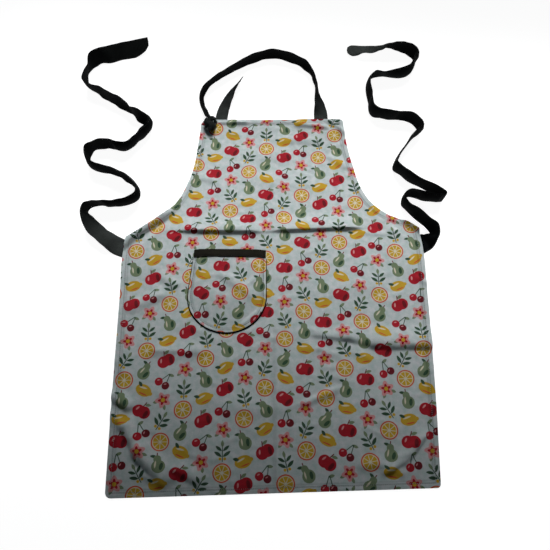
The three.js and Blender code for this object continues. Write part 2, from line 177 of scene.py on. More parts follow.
# Small creases: how many, where, how far they slant, how steep they may be, and the least and most of
# their length, height and width of each flank
CREASES = 330
CREASE_SEED = 17
CREASE_X = (-310, 310)
CREASE_Y = (-430, 385)
CREASE_SLANT = 0.6
CREASE_STEEP = ("soft", "soft", "crest")
CREASE_LENGTH = (20.0, 90.0)
CREASE_HEIGHT = (0.3, 1.3)
CREASE_FLANK = (6.0, 11.0)

# Straps sewn behind the body: x, y, how far the cloth is lifted flat, and where the lift ends
SEWN_ENDS = [
    (-303, 56, 48, 80), (297, 66, 48, 80), (107, 383, 40, 66), (-125, 384, 30, 44),
]
SEWN_RISE = STRAP_THICK + 2 * GAP

# Patch pocket
POCKET_LEFT = -177.5
POCKET_MOUTH_LEFT = -170.5
POCKET_RIGHT = -19.0
POCKET_MOUTH_LEFT_Y = 54.0
POCKET_MOUTH_RIGHT_Y = 53.0
POCKET_ROUND_Y = -48.0  # where the sides turn into the round bottom
POCKET_BOTTOM_Y = -124.0
POCKET_ROOM = 7.0  # how far it stands off the body
POCKET_RISE_SHARE = 0.45  # share of its height over which it rises
POCKET_FLATNESS = 6
POCKET_COLUMNS = 96
POCKET_ROWS = 84
POCKET_HEM = 6.0
POCKET_HEM_RISE = 0.6
POCKET_STITCH = 5.0
POCKET_PRINT_SHIFT = (13.0, 21.0)
BAND_HEIGHT = 16.5
BAND_THICK = 1.1
BAND_POINTS = 141
BAND_END = 0.006  # share of its half width over which bumps die out
BAND_PALENESS = 0.5
# The pocket's black edge: narrow at the sides, widened round the bottom into a dark strip that stands for
# the pocket's shadow
EDGING_SIDE_WIDTH = 1.2
EDGING_LOW_WIDTH = 2.5
EDGING_WIDENS = (60.0, 110.0)  # from how far above the round bottom, and over what height
EDGING_HEIGHT = 1.3
EDGING_SECTION = 10

# Straps: the middle of the strap on the floor and its tilt in degrees
NECK_STRAP = [
    (107, 374, 0), (107, 399, 0), (105, 427, 36), (99, 460, 66), (93, 492, 82), (85, 517, 84),
    (68, 540, 92), (36, 559, 92), (-5, 570, 90), (-50, 557, 90), (-108, 521, 80), (-151, 485, 76),
    (-167.5, 456, 88), (-168.5, 430, 101), (-162, 407, 117), (-154, 387.2, 126),
]
NECK_TAIL = [
    (-126, 372, 0), (-124, 399, 0), (-120, 417, -12), (-111, 442, -28), (-100, 466, -44),
    (-89, 483, -58), (-79, 496, -67),
]
WAIST_TIE_LEFT = [
    (-288, 50, 0), (-331, 64, 0), (-354, 78, 21), (-382, 100, 32), (-401, 127, 58), (-407, 148, 88),
    (-394, 157, 102), (-353, 159, 99), (-318, 165, 96), (-300, 180, 92), (-313, 208, 88),
    (-358, 237, 84), (-399, 251, 90), (-413, 262, 92), (-418.5, 276, 83), (-419, 291, 83),
    (-408, 304, 94), (-380, 310, 89), (-336, 304, 98), (-313, 325, 97), (-289, 365, 92),
    (-311, 384, 107), (-333, 401, 84), (-354, 418, 99), (-407, 452, 94), (-430, 466, 78),
    (-445, 478, 78), (-446, 521, 102), (-434, 553, 76), (-393, 572, 47), (-318, 594, 41),
]
WAIST_TIE_RIGHT = [
    (280, 52, 180), (320, 75, 180), (331, 84, 136), (337, 97, 104), (326, 110, 102), (304, 133, 97),
    (285, 151, 84), (277, 168, 90), (291, 183, 94), (331, 174, 92), (366, 173, 90), (354, 186, 91),
    (300, 221, 90), (279, 240, 92), (266.5, 253.5, 94), (271, 266, 94), (281, 285, 93),
    (304, 320, 94), (325, 347, 93), (331.5, 355.5, 92), (328, 363, 91), (314, 380, 90),
    (257, 390, 84), (227, 401, 94), (222, 440, 98), (221, 480, 97), (235, 504, 103), (259, 507, 114),
    (300, 510, 92), (318, 518, 92), (325, 528, 92), (332, 548, 90), (338, 565, 94), (329, 577, 96),
    (315, 585, 82), (298, 589.5, 70), (280, 591, 60), (255, 591, 34), (225, 590, 24), (176, 591, 9),
]

# Knot: the middle and half sizes of the strand's path, and the strand's half width and thickness
KNOT_MIDDLE = (-149.0, 370.5, 13.2)
KNOT_REACH = (9.4, 16.0, 4.8)
KNOT_SPREAD = 1.3  # how much further its windings lie apart sideways
KNOT_STRAND = (5.4, 3.2)
KNOT_PLEATS = (0.14, 0.07)  # depth of the pleats along the strand and of those across it
KNOT_FLAT = 30.0  # millimetres of cloth for each radian
KNOT_PAINTED_LIGHT = (0.9, 0.6)  # light painted on the knot's turns: on the whole, and either way
KNOT_STEPS = 220
KNOT_SECTION = 24

# Where the layout lies in the row's frame, from the pocket's own box
pocket_low, pocket_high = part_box("pocket")
LAYOUT_SHIFT = np.array([pocket_low.x / MM - POCKET_LEFT, pocket_high.y / MM - POCKET_MOUTH_LEFT_Y, 0.0])


# Small helpers

def to_row(points):
    """Layout millimetres to the row's frame in metres."""
    return (np.asarray(points, float) + LAYOUT_SHIFT) * MM


def smooth(value):
    t = np.clip(value, 0.0, 1.0)
    return t * t * (3.0 - 2.0 * t)


def mix(a, b, share):
    return a + (b - a) * share


def unit(vectors):
    return vectors / np.linalg.norm(vectors, axis=-1, keepdims=True)


def lengths_along(points):
    steps = np.linalg.norm(np.diff(points, axis=0), axis=1)
    return np.concatenate([[0.0], np.cumsum(steps)])


def at_lengths(points, places):
    """Points at the given distances along a polyline."""
    along = lengths_along(points)
    return np.stack([np.interp(places, along, points[:, k]) for k in range(points.shape[1])], -1)


def spline(points, per_span=48):
    """Centripetal curve through the points, and how many spans lie behind each of its points."""
    points = np.asarray(points, float)
    padded = np.vstack([2 * points[0] - points[1], points, 2 * points[-1] - points[-2]])
    made, spans = [], []
    for span in range(len(points) - 1):
        p0, p1, p2, p3 = padded[span:span + 4]
        d0, d1, d2 = (math.sqrt(np.linalg.norm(b - a)) for a, b in ((p0, p1), (p1, p2), (p2, p3)))
        t1 = ((p1 - p0) / d0 - (p2 - p0) / (d0 + d1) + (p2 - p1) / d1) * d1
        t2 = ((p2 - p1) / d1 - (p3 - p1) / (d1 + d2) + (p3 - p2) / d2) * d1
        t = np.linspace(0.0, 1.0, per_span, endpoint=False)[:, None]
        curve = p1 + t1 * t + (3 * (p2 - p1) - 2 * t1 - t2) * t**2 + (2 * (p1 - p2) + t1 + t2) * t**3
        made.append(curve)
        spans.append(span + t[:, 0])
    made.append(points[-1:])
    spans.append([len(points) - 1.0])
    return np.vstack(made), np.concatenate(spans)


def waves(x, y, size, seed, count=9, spread=(0.7, 1.5), usual_peak=0.7):
    """Soft unevenness from -1 to 1 with bumps of about that size."""
    draw = np.random.default_rng(seed)
    total = np.zeros_like(np.asarray(x, float))
    for _ in range(count):
        angle = draw.uniform(0, 2 * math.pi)
        pitch = 2 * math.pi / (2 * size * draw.uniform(*spread))
        phase = draw.uniform(0, 2 * math.pi)
        total += np.sin((x * math.cos(angle) + y * math.sin(angle)) * pitch + phase)
    return np.clip(total / (usual_peak * count), -1, 1)


def uneven(kind, x, y, seed=0):
    amount, size, own_seed = kind
    return amount * waves(x, y, size, own_seed + seed)


def bell(distance, height, width):
    return height * np.exp(-((distance / width) ** 2))


def each_millimetre(line):
    return at_lengths(line, np.arange(0.0, lengths_along(line)[-1], 1.0))


def ring(count):
    """Angles once round."""
    return np.arange(count) * 2 * math.pi / count


def set_inputs(node, values):
    for name, value in values.items():
        node.inputs[name].default_value = value


def eased(values, kernel):
    """Values in a row, evened out along it."""
    reach = len(kernel) // 2
    return np.convolve(np.pad(values, reach, mode="edge"), kernel / kernel.sum(), mode="valid")


def add_object(name, data):
    thing = bpy.data.objects.new(name, data)
    bpy.context.scene.collection.objects.link(thing)
    return thing


# Meshes

def write_mesh(name, points, faces, material, uv=None, marks=None, creases=()):
    """A smooth mesh in the row's frame, with its flat cloth coordinates and named marks at its points."""
    mesh = bpy.data.meshes.new(name)
    mesh.from_pydata(to_row(points).tolist(), [], [list(map(int, face)) for face in faces])
    mesh.polygons.foreach_set("use_smooth", [True] * len(mesh.polygons))
    if uv is not None:
        corner = np.empty(len(mesh.loops), int)
        mesh.loops.foreach_get("vertex_index", corner)
        layer = mesh.uv_layers.new(name="Cloth")
        layer.data.foreach_set("uv", (uv[corner] * MM).astype(np.float32).ravel())
    for mark, values in (marks or {}).items():
        attribute = mesh.attributes.new(mark, "FLOAT", "POINT")
        attribute.data.foreach_set("value", values.astype(np.float32))
    if creases:
        ends = np.array([edge.vertices for edge in mesh.edges])
        sharp = np.any([np.isin(ends, line).all(1) for line in creases], axis=0)
        attribute = mesh.attributes.new("sharp_edge", "BOOLEAN", "EDGE")
        attribute.data.foreach_set("value", sharp)
    mesh.materials.append(material)
    mesh.update()
    return add_object(name, mesh)


def grid_faces(rows, columns):
    a = np.arange(rows * columns).reshape(rows, columns)[:-1, :-1].ravel()
    return np.stack([a, a + 1, a + columns + 1, a + columns], -1)


def rim_of_grid(rows, columns):
    """Index of each point once round a grid."""
    inside = np.arange(rows * columns).reshape(rows, columns)
    return np.concatenate([inside[0, :-1], inside[:-1, -1], inside[-1, :0:-1], inside[:0:-1, 0]])


def sheet_mesh(name, places, bottom, top, flat, seam, material):
    """A closed sheet between two heights over a grid of places, with the shade painted along its seams,
    and any darker pressed line, marked at its points.
    """
    rows, columns = places.shape[:2]
    count = rows * columns
    quads = grid_faces(rows, columns)
    rim = rim_of_grid(rows, columns)
    following = np.roll(rim, -1)
    walls = np.stack([rim + count, following + count, following, rim], -1)
    faces = np.vstack([quads, quads[:, ::-1] + count, walls])
    points = np.vstack([np.dstack([places, height]).reshape(-1, 3) for height in (top, bottom)])
    uv = np.tile(flat.reshape(-1, 2), (2, 1))
    marks = {"Back": np.repeat([0.0, 1.0], count), "Seam": np.tile(seam.ravel(), 2)}
    return write_mesh(name, points, faces, material, uv, marks, [rim, rim + count])


def sweep_mesh(name, lines, flat, painted_light_and_paleness, material, closed=False):
    """A solid between lines of points along it, joined end to end where closed and capped where not."""
    rings = np.stack(lines, 1)
    count, sides = rings.shape[:2]
    marks = {"PaintedLightAndPaleness": np.repeat(painted_light_and_paleness, sides)}
    index = np.arange(count * sides).reshape(count, sides)
    if closed:
        index = np.vstack([index, index[:1]])
    around = np.roll(index, -1, axis=1)
    quads = np.stack([index[:-1], around[:-1], around[1:], index[1:]], -1).reshape(-1, 4)
    faces = [list(quad) for quad in quads]
    if not closed:
        faces += [list(index[0, ::-1]), list(index[-1])]
    return write_mesh(name, rings.reshape(-1, 3), faces, material, np.stack(flat, 1).reshape(-1, 2), marks)


def stitch_mesh(name, lines, material, length=3.0, space=1.0, radius=0.28, sides=6):
    """Rows of thread stitches along lines of points, each with the way up from the cloth."""
    lift = 0.6 * radius
    shape = [(-length / 2, -radius, 0.0)]
    for along in (-length / 4, length / 4):
        for angle in ring(sides):
            shape.append((along, radius * math.sin(angle) + lift, radius * math.cos(angle)))
    shape.append((length / 2, -radius, 0.0))
    shape = np.array(shape)
    tip = len(shape) - 1
    faces = []
    for here in range(sides):
        after = (here + 1) % sides
        a, b, c, d = 1 + here, 1 + after, 1 + sides + here, 1 + sides + after
        faces += [(0, a, b), (a, c, d, b), (d, c, tip)]
    points, made = [], []
    for path, ups in lines:
        total = lengths_along(path)[-1]
        count = int(total // (length + space))
        places = (np.arange(count) + 0.5) * total / count
        centre = at_lengths(path, places)
        along = unit(at_lengths(path, places + 0.5) - at_lengths(path, places - 0.5))
        up = np.stack([np.interp(places, lengths_along(path), ups[:, k]) for k in range(3)], -1)
        side = unit(np.cross(along, up))
        up = np.cross(side, along)
        for middle, x, y, z in zip(centre, along, up, side):
            start = len(points) * len(shape)
            points.append(middle + shape @ np.stack([x, y, z]))
            made += [tuple(start + k for k in face) for face in faces]
    return write_mesh(name, np.vstack(points), made, material)


# Materials

def one_node(operation):
    """A method of Field that is one Math node."""
    def method(self, *others):
        return self.math(operation, *others)
    return method


class Field:
    """A number on a surface, worked out by Math nodes, so that shapes read as plain formulas."""

    def __init__(self, tree, socket):
        self.tree = tree
        self.socket = socket

    def math(self, operation, *others, clamp=False):
        node = self.tree.nodes.new("ShaderNodeMath")
        node.operation = operation
        node.use_clamp = clamp
        for place, value in enumerate((self, *others)):
            if isinstance(value, Field):
                self.tree.links.new(value.socket, node.inputs[place])
            else:
                node.inputs[place].default_value = value
        return Field(self.tree, node.outputs[0])

    __add__ = one_node("ADD")
    __sub__ = one_node("SUBTRACT")
    __mul__ = one_node("MULTIPLY")
    __truediv__ = one_node("DIVIDE")
    at_most = one_node("MINIMUM")
    at_least = one_node("MAXIMUM")
    whole = one_node("FLOOR")
    wrapped = one_node("FLOORED_MODULO")
    size = one_node("ABSOLUTE")
    root = one_node("SQRT")
    sine = one_node("SINE")
    cosine = one_node("COSINE")

    def equals(self, value):
        return self.math("COMPARE", value, 0.5)


PRINT_EDGE = 0.7  # how soft the edge of the printed ink is, in millimetres


def inside(distance):
    """1 inside a shape and 0 outside, from the distance to its edge."""
    return distance.math("MULTIPLY_ADD", -1.0 / PRINT_EDGE, 0.5, clamp=True)


def hypotenuse(x, y):
    return (x * x + y * y).root()


def disc(x, y, at_x, at_y, radius):
    return hypotenuse(x - at_x, y - at_y) - radius


def turned(x, y, at_x, at_y, degrees):
    """Coordinates about a point, turned by that angle."""
    c, s = math.cos(math.radians(degrees)), math.sin(math.radians(degrees))
    dx, dy = x - at_x, y - at_y
    return dx * c + dy * s, dy * c - dx * s


def oval(x, y, at_x, at_y, degrees, half_length, half_width):
    along, across = turned(x, y, at_x, at_y, degrees)
    return (hypotenuse(along / half_length, across / half_width) - 1.0) * half_width


def leaf(x, y, at_x, at_y, degrees, half_length, half_width):
    """A shape with a point at each end, where two arcs meet."""
    along, across = turned(x, y, at_x, at_y, degrees)
    offset = (half_length**2 - half_width**2) / (2 * half_width)
    return hypotenuse(along, across.size() + offset) - (offset + half_width)


def stroke(x, y, at_x, at_y, degrees, half_length, half_width):
    """A line with round ends."""
    along, across = turned(x, y, at_x, at_y, degrees)
    past = (along.size() - half_length).at_least(0.0)
    return hypotenuse(past, across) - half_width


INKS = {
    "red": (0.42, 0.014, 0.026),
    "maroon": (0.15, 0.010, 0.016),
    "mustard": (0.60, 0.37, 0.030),
    "orange": (0.62, 0.105, 0.042),
    "pink": (0.70, 0.31, 0.31),
    "sage": (0.19, 0.25, 0.145),
    "green": (0.040, 0.085, 0.048),
    "cream": (0.74, 0.68, 0.52),
}


def apple(x, y):
    return [
        (leaf(x, y, 6.4, 12.3, 14, 5.8, 2.7), "sage"),
        (stroke(x, y, 1.0, 11.5, 70, 4.5, 0.9), "maroon"),
        (disc(x.size(), y, 5.2, -2.0, 11.0), "red"),
        (oval(x, y, 8.5, -4.0, 80, 7.5, 3.4), "maroon"),
        (oval(x, y, -8.5, 1.5, 65, 4.0, 1.6), "pink"),
    ]


def lemon(x, y):
    return [
        (disc(x, y, 14.4, 0.0, 3.4), "mustard"),
        (oval(x, y, 0.0, 0.0, 0, 15.0, 10.5), "mustard"),
        (leaf(x, y, -10.6, 7.4, 150, 5.8, 2.8), "green"),
        (oval(x, y, -3.0, 4.0, 12, 7.0, 1.5), "cream"),
        (oval(x, y, 2.0, -6.0, 4, 8.0, 1.3), "orange"),
    ]


def pear(x, y):
    neck = stroke(x, y, 0.0, 2.8, 90, 4.6, 6.1)
    belly = disc(x, y, 0.0, -6.3, 11.3)
    return [
        (leaf(x, y, -5.6, 12.8, 160, 5.6, 2.6), "green"),
        (stroke(x, y, 0.7, 14.0, 80, 3.2, 0.9), "maroon"),
        (neck.at_most(belly), "sage"),
        (oval(x, y, 4.5, -7.0, 70, 6.5, 3.0), "green"),
        (oval(x, y, -4.5, -2.0, 75, 6.0, 1.4), "cream"),
    ]


def orange_slice(x, y):
    radius = hypotenuse(x, y)
    angle = y.math("ARCTAN2", x)
    spokes = (angle * 4.0).sine().size() * radius - 2.4
    return [
        (radius - 16.0, "orange"),
        (radius - 13.6, "cream"),
        ((radius - 12.2).at_least(spokes * -1.0), "mustard"),
        (radius - 1.8, "cream"),
    ]


def cherries(x, y):
    return [
        (leaf(x, y, 7.0, 12.2, 8, 5.8, 2.7), "sage"),
        (stroke(x, y, -2.0, 3.0, 64, 10.5, 0.8), "green"),
        (stroke(x, y, 5.4, 3.0, 98, 10.0, 0.8), "green"),
        (disc(x, y, -7.4, -7.2, 7.3), "red"),
        (disc(x, y, 7.2, -8.5, 6.9), "maroon"),
        (oval(x, y, -9.3, -4.8, 40, 2.5, 1.1), "pink"),
        (oval(x, y, 5.3, -6.2, 40, 2.4, 1.0), "pink"),
    ]


def sprig(x, y):
    side = x.size()
    leaves = leaf(side, y, 7.5, -5.0, 35, 8.0, 2.9).at_most(leaf(side, y, 6.5, 4.5, 40, 7.0, 2.6))
    return [
        (stroke(x, y, 0.0, -2.0, 90, 15.0, 0.8), "green"),
        (leaves, "green"),
        (leaf(x, y, 0.0, 12.0, 90, 6.0, 2.6), "sage"),
        (disc(side, y, 4.0, -13.0, 2.6), "mustard"),
    ]


def flower(x, y):
    radius = hypotenuse(x, y)
    petals = (y.math("ARCTAN2", x) * 5.0).cosine()
    return [
        (leaf(x.size(), y, 8.9, -9.1, -45, 5.6, 2.8), "sage"),
        (radius - petals * 2.6 - 11.8, "pink"),
        (radius - petals * 2.2 - 6.8, "red"),
        (radius - 3.6, "mustard"),
    ]


MOTIFS = [apple, sprig, lemon, flower, pear, cherries, orange_slice]
MOTIF_PITCH = 39.0  # millimetres from one printed motif to the next
MOTIF_SCALE = 1.08
MOTIF_STEPS = (3.0, 2.0)  # how many motifs on the next column and row begin
MOTIF_TURN = 0.55  # how far the motifs are tossed about, in radians
MOTIF_TOSS = (2.1, 2.3)  # how their turns differ, by motif and by row
INK_WOBBLE = 0.9  # how far the ink strays, in millimetres
INK_WEAR = (0.88, 0.3)  # strength where worn, and how much more elsewhere

# Printed cotton: colours, strengths and millimetres
GROUND_DARK = (0.45, 0.571, 0.556)
GROUND_PALE = (0.708, 0.71, 0.733)
BACK_COLOUR = (0.66, 0.68, 0.69)
BACK_FADED = 0.62
WEAVE_SHADE = (0.3, 0.33, 0.34)
# Shade painted into the colour along the stitches and at the hem's foot, which also darkens the pressed
# line: its colour and strength
PAINTED_SHADE_COLOUR = (0.2, 0.21, 0.22)
PAINTED_SHADE_STRENGTH = 0.6
THREAD_PITCH = 0.55
THREAD_BUMP = 0.4
SLUB_NARROW = 0.25
SLUB_SIZE = 0.9
TONES = {"threads": 0.02, "slubs": 0.07, "stains": 0.08, "flecks": 0.12}

# Black cotton and thread
TWILL_PITCH = 0.9
TWILL_BUMP = 0.5
PALE_SHARES = {"lint": 0.4, "worn": 0.4, "weave": 0.05}
UNLIT_SHARE = 0.05  # share of that where no light is painted
PLY_TURN = 9.0  # radians a millimetre


def new_material(name, roughness, specular, sheen):
    material = bpy.data.materials.new(name)
    material.use_nodes = True
    tree = material.node_tree
    shader = tree.nodes["Principled BSDF"]
    set_inputs(shader, {"Roughness": roughness, "Specular IOR Level": specular})
    set_inputs(shader, {"Sheen Weight": sheen, "Sheen Roughness": 0.5})
    return material, tree, shader


def in_millimetres(tree, socket):
    """The first two coordinates of a place in metres."""
    apart = tree.nodes.new("ShaderNodeSeparateXYZ")
    tree.links.new(socket, apart.inputs[0])
    return Field(tree, apart.outputs[0]) / MM, Field(tree, apart.outputs[1]) / MM


def cloth_place(tree):
    """Flat coordinates on the cloth in millimetres."""
    uv = tree.nodes.new("ShaderNodeUVMap")
    uv.uv_map = "Cloth"
    return in_millimetres(tree, uv.outputs[0])


def mark(tree, name):
    """A number written at the mesh's points."""
    node = tree.nodes.new("ShaderNodeAttribute")
    node.attribute_name = name
    return Field(tree, node.outputs["Fac"])


def noise(x, y, size, detail=2.0):
    """Soft noise from 0 to 1 with spots of about that size in millimetres."""
    tree = x.tree
    place = tree.nodes.new("ShaderNodeCombineXYZ")
    for number, field in enumerate((x, y)):
        tree.links.new(field.socket, place.inputs[number])
    node = tree.nodes.new("ShaderNodeTexNoise")
    set_inputs(node, {"Scale": 1.0 / size, "Detail": detail})
    tree.links.new(place.outputs[0], node.inputs["Vector"])
    return Field(tree, node.outputs["Fac"])


def spots(x, y, size, contrast, detail=2.0):
    """Noise from 0 to 1 with its contrast raised."""
    return ((noise(x, y, size, detail) - 0.5) * contrast + 0.5).at_least(0.0).at_most(1.0)


def mixed(tree, share, first, second, blend="MIX"):
    """Two colours mixed: each is three numbers or a colour socket."""
    node = tree.nodes.new("ShaderNodeMix")
    node.data_type = "RGBA"
    node.blend_type = blend
    tree.links.new(share.socket, node.inputs["Factor"])
    for place, colour in ((6, first), (7, second)):
        if isinstance(colour, tuple):
            node.inputs[place].default_value = (*colour, 1.0)
        else:
            tree.links.new(colour, node.inputs[place])
    return node.outputs[2]


def add_bump(tree, shader, height, strength, distance):
    bump = tree.nodes.new("ShaderNodeBump")
    set_inputs(bump, {"Strength": strength, "Distance": distance * MM})
    tree.links.new(height.socket, bump.inputs["Height"])
    tree.links.new(bump.outputs[0], shader.inputs["Normal"])


def printed_cotton():
    """Plain-weave cotton with tossed fruit, leaves and flowers on a pale grey-blue ground."""
    material, tree, shader = new_material("printed_cotton", roughness=0.85, specular=0.12, sheen=0.04)
    x, y = cloth_place(tree)
    wobble = (noise(x, y, size=6.0) - 0.5) * INK_WOBBLE
    column = ((x + wobble) / MOTIF_PITCH).whole()
    odd_column = column.wrapped(2.0)
    dropped = y + wobble + odd_column * (MOTIF_PITCH / 2)
    row = (dropped / MOTIF_PITCH).whole()
    local_x = x + wobble - (column + 0.5) * MOTIF_PITCH
    local_y = dropped - (row + 0.5) * MOTIF_PITCH
    kind = (column * MOTIF_STEPS[0] + row * MOTIF_STEPS[1]).wrapped(float(len(MOTIFS)))
    toss = kind * MOTIF_TOSS[0] + row.wrapped(3.0) * MOTIF_TOSS[1] + odd_column
    angle = toss.sine() * MOTIF_TURN
    c, s = angle.cosine(), angle.sine()
    motif_x = (local_x * c + local_y * s) / MOTIF_SCALE
    motif_y = (local_y * c - local_x * s) / MOTIF_SCALE

    mottle = spots(x, y, size=11.0, contrast=1.9, detail=5.0)
    colour = mixed(tree, mottle, GROUND_DARK, GROUND_PALE)
    worn, stronger = INK_WEAR
    ink_wear = noise(x, y, size=1.6, detail=3.0) * stronger + worn
    for number, motif in enumerate(MOTIFS):
        here = kind.equals(float(number)) * ink_wear.at_most(1.0)
        for distance, ink in motif(motif_x, motif_y):
            colour = mixed(tree, inside(distance) * here, colour, INKS[ink])

    faded = mixed(tree, mark(tree, "Back") * BACK_FADED, colour, BACK_COLOUR)
    turns = 2 * math.pi / THREAD_PITCH
    threads = (x * turns).sine() * (y * turns).sine()
    slubs = noise(x * SLUB_NARROW, y, SLUB_SIZE) + noise(x, y * SLUB_NARROW, SLUB_SIZE)
    stains = noise(x, y, size=60.0)
    flecks = spots(x, y, size=2.6, contrast=2.4)
    tone = threads * TONES["threads"] + slubs * TONES["slubs"]
    tone = tone + stains * TONES["stains"] + flecks * TONES["flecks"]
    shaded = mixed(tree, tone, faded, WEAVE_SHADE, "MULTIPLY")
    # Painted shade: darker along the stitches and at the hem's foot, and a darker pressed line
    with_painted_shade = mixed(tree, mark(tree, "Seam") * PAINTED_SHADE_STRENGTH, shaded, PAINTED_SHADE_COLOUR, "MULTIPLY")
    tree.links.new(with_painted_shade, shader.inputs["Base Color"])
    add_bump(tree, shader, threads * THREAD_BUMP + slubs, strength=0.35, distance=0.12)
    return material


def twill_cotton(name, dark, light):
    """Black cotton with a slanted weave, paler by a mark at its points: painted light where a strap or the
    knot lies flat and lit, and a fixed paleness on the band.
    """
    material, tree, shader = new_material(name, roughness=0.85, specular=0.04, sheen=0.0)
    x, y = cloth_place(tree)
    twill = ((x + y) * (2 * math.pi / TWILL_PITCH)).sine()
    lint = noise(x, y, size=2.2, detail=4.0)
    worn = noise(x, y, size=26.0)
    pale = lint * PALE_SHARES["lint"] + worn * PALE_SHARES["worn"] + twill * PALE_SHARES["weave"]
    # The mark's share is painted light on the straps and the knot, a fixed paleness on the band and none
    # on the edging
    share = pale * (mark(tree, "PaintedLightAndPaleness") * (1 - UNLIT_SHARE) + UNLIT_SHARE)
    tree.links.new(mixed(tree, share, dark, light), shader.inputs["Base Color"])
    add_bump(tree, shader, twill * TWILL_BUMP + lint, strength=0.5, distance=0.12)
    return material


def thread_material(name, colour, other):
    """Sewing thread with its plies."""
    material, tree, shader = new_material(name, roughness=0.7, specular=0.1, sheen=0.05)
    place = tree.nodes.new("ShaderNodeTexCoord")
    x, y = in_millimetres(tree, place.outputs["Object"])
    plies = ((x + y) * PLY_TURN).sine() * 0.5 + 0.5
    tree.links.new(mixed(tree, plies, colour, other), shader.inputs["Base Color"])
    add_bump(tree, shader, plies, strength=0.4, distance=0.1)
    return material


# Body

def small_creases():
    """Creases strewn over the body, most of them nearly level."""
    draw = np.random.default_rng(CREASE_SEED)
    made = []
    for _ in range(CREASES):
        x, y = draw.uniform(*CREASE_X), draw.uniform(*CREASE_Y)
        angle = draw.normal(0.0, CREASE_SLANT)
        length = draw.uniform(*CREASE_LENGTH)
        dx, dy = length / 2 * math.cos(angle), length / 2 * math.sin(angle)
        height = draw.uniform(*CREASE_HEIGHT)
        front, rear = draw.uniform(*CREASE_FLANK, 2)
        steep = CREASE_STEEP[draw.integers(len(CREASE_STEEP))]
        made.append((x - dx, y - dy, x + dx, y + dy, height, front, rear, steep))
    return made


CREASED_FOLDS = FOLDS + small_creases()


def fold_height(fold, x, y):
    x0, y0, x1, y1, height, front, rear, steep = fold
    length = math.hypot(x1 - x0, y1 - y0)
    along = ((x - x0) * (x1 - x0) + (y - y0) * (y1 - y0)) / length**2
    across = ((y - y0) * (x1 - x0) - (x - x0) * (y1 - y0)) / length
    ends = smooth(along / FOLD_FADE) * smooth((1 - along) / FOLD_FADE)
    down = np.clip(np.where(across > 0, across / rear, -across / front), 0, 1)
    fronts = {"soft": smooth(1 - down), "crest": (1 - down) ** 2, "foot": 1 - down**2}
    return height * ends * np.where(across > 0, smooth(1 - down), fronts[steep])


def sewn_rise(end, x, y):
    at_x, at_y, plateau, fade = end
    distance = np.hypot(x - at_x, y - at_y)
    return SEWN_RISE * smooth((fade - distance) / (fade - plateau))


def body_floor(x, y):
    """Height of the body's underside: folds, sewn straps and soft swells."""
    folds = sum(fold_height(fold, x, y) for fold in CREASED_FOLDS)
    lifted = np.max([sewn_rise(end, x, y) for end in SEWN_ENDS], axis=0)
    swell = BODY_LIFT + sum(uneven(kind, x, y) for kind in BODY_SWELLS)
    return np.maximum(folds, lifted) + np.maximum(swell, 0.0)


def hem_thickness(x, y, edge, width, rise, stitch):
    """Thickness of cloth with a turned hem, sunk along its stitches and puckered."""
    turned_in = smooth((width + HEM_STEP / 2 - edge) / HEM_STEP)
    pucker = bell(edge - stitch, *PUCKERS) * waves(x, y, *PUCKER_WAVES)
    return CLOTH + rise * turned_in - bell(edge - stitch, *GROOVE) + pucker


def painted_seam_shade(edge, width, stitch):
    """How much shade is painted into the cloth's colour, along its stitches and at the foot of its hem."""
    foot = bell(edge - width - HEM_STEP, *FOOT_SHADE)
    return np.clip(bell(edge - stitch, *STITCH_SHADE) + foot, 0, 1)


def body_top(x, y, edge):
    return body_floor(x, y) + hem_thickness(x, y, edge, HEM_WIDTH, HEM_RISE, HEM_STITCH)


def body_rows():
    """Each row of the body: its left and right end, how far from the hem or the top, and which of them."""
    rows = []
    for sections, count, at_hem in ((SKIRT_SECTIONS, SKIRT_ROWS, True), (BIB_SECTIONS, BIB_ROWS, False)):
        left, right = (spline([row[k:k + 2] for row in sections])[0] for k in (0, 2))
        length = lengths_along(left)[-1]
        from_end = np.concatenate([HEM_LINES, np.linspace(HEM_LINES[-1], length, count + 1)[1:]])
        from_end = from_end[:-1] if at_hem else from_end[::-1]
        shares = (from_end if at_hem else length - from_end) / length
        ends = [at_lengths(curve, shares * lengths_along(curve)[-1]) for curve in (left, right)]
        rows += zip(*ends, from_end, [at_hem] * len(shares))
    return rows


def body_grid():
    """Places of the body's points on the floor, with its corners rounded."""
    lines = np.array(HEM_LINES)
    grid = []
    for left, right, from_end, at_hem in body_rows():
        width = np.linalg.norm(right - left)
        even = np.linspace(lines[-1], width - lines[-1], BODY_COLUMNS + 1)[1:-1]
        places = np.concatenate([lines, even, width - lines[::-1]])
        row = mix(left, right, (places / width)[:, None])
        along = (right - left) / width
        inward = np.array([0.0, 1.0 if at_hem else -1.0])
        radii = HEM_CORNERS if at_hem else TOP_CORNERS
        for distance, direction, radius in zip((places, width - places), (along, -along), radii):
            a = np.clip(1 - distance / radius, 0, 1)
            b = max(0.0, 1 - from_end / radius)
            pull = 1 - np.maximum(a, b) / np.maximum(np.hypot(a, b), TINY)
            pull = np.where(a * b > 0, radius * pull, 0.0)
            row += pull[:, None] * (a[:, None] * direction + b * inward)
        grid.append(row)
    return np.array(grid)


def outline_of(grid):
    """The closed line round a grid, with a point about every millimetre."""
    rim = grid.reshape(-1, 2)[rim_of_grid(*grid.shape[:2])]
    return each_millimetre(np.vstack([rim, rim[:1]]))


def distance_to(line, places):
    tree = KDTree(len(line))
    for number, (x, y) in enumerate(line):
        tree.insert((x, y, 0.0), number)
    tree.balance()
    flat = places.reshape(-1, 2)
    return np.array([tree.find((x, y, 0.0))[2] for x, y in flat]).reshape(places.shape[:-1])


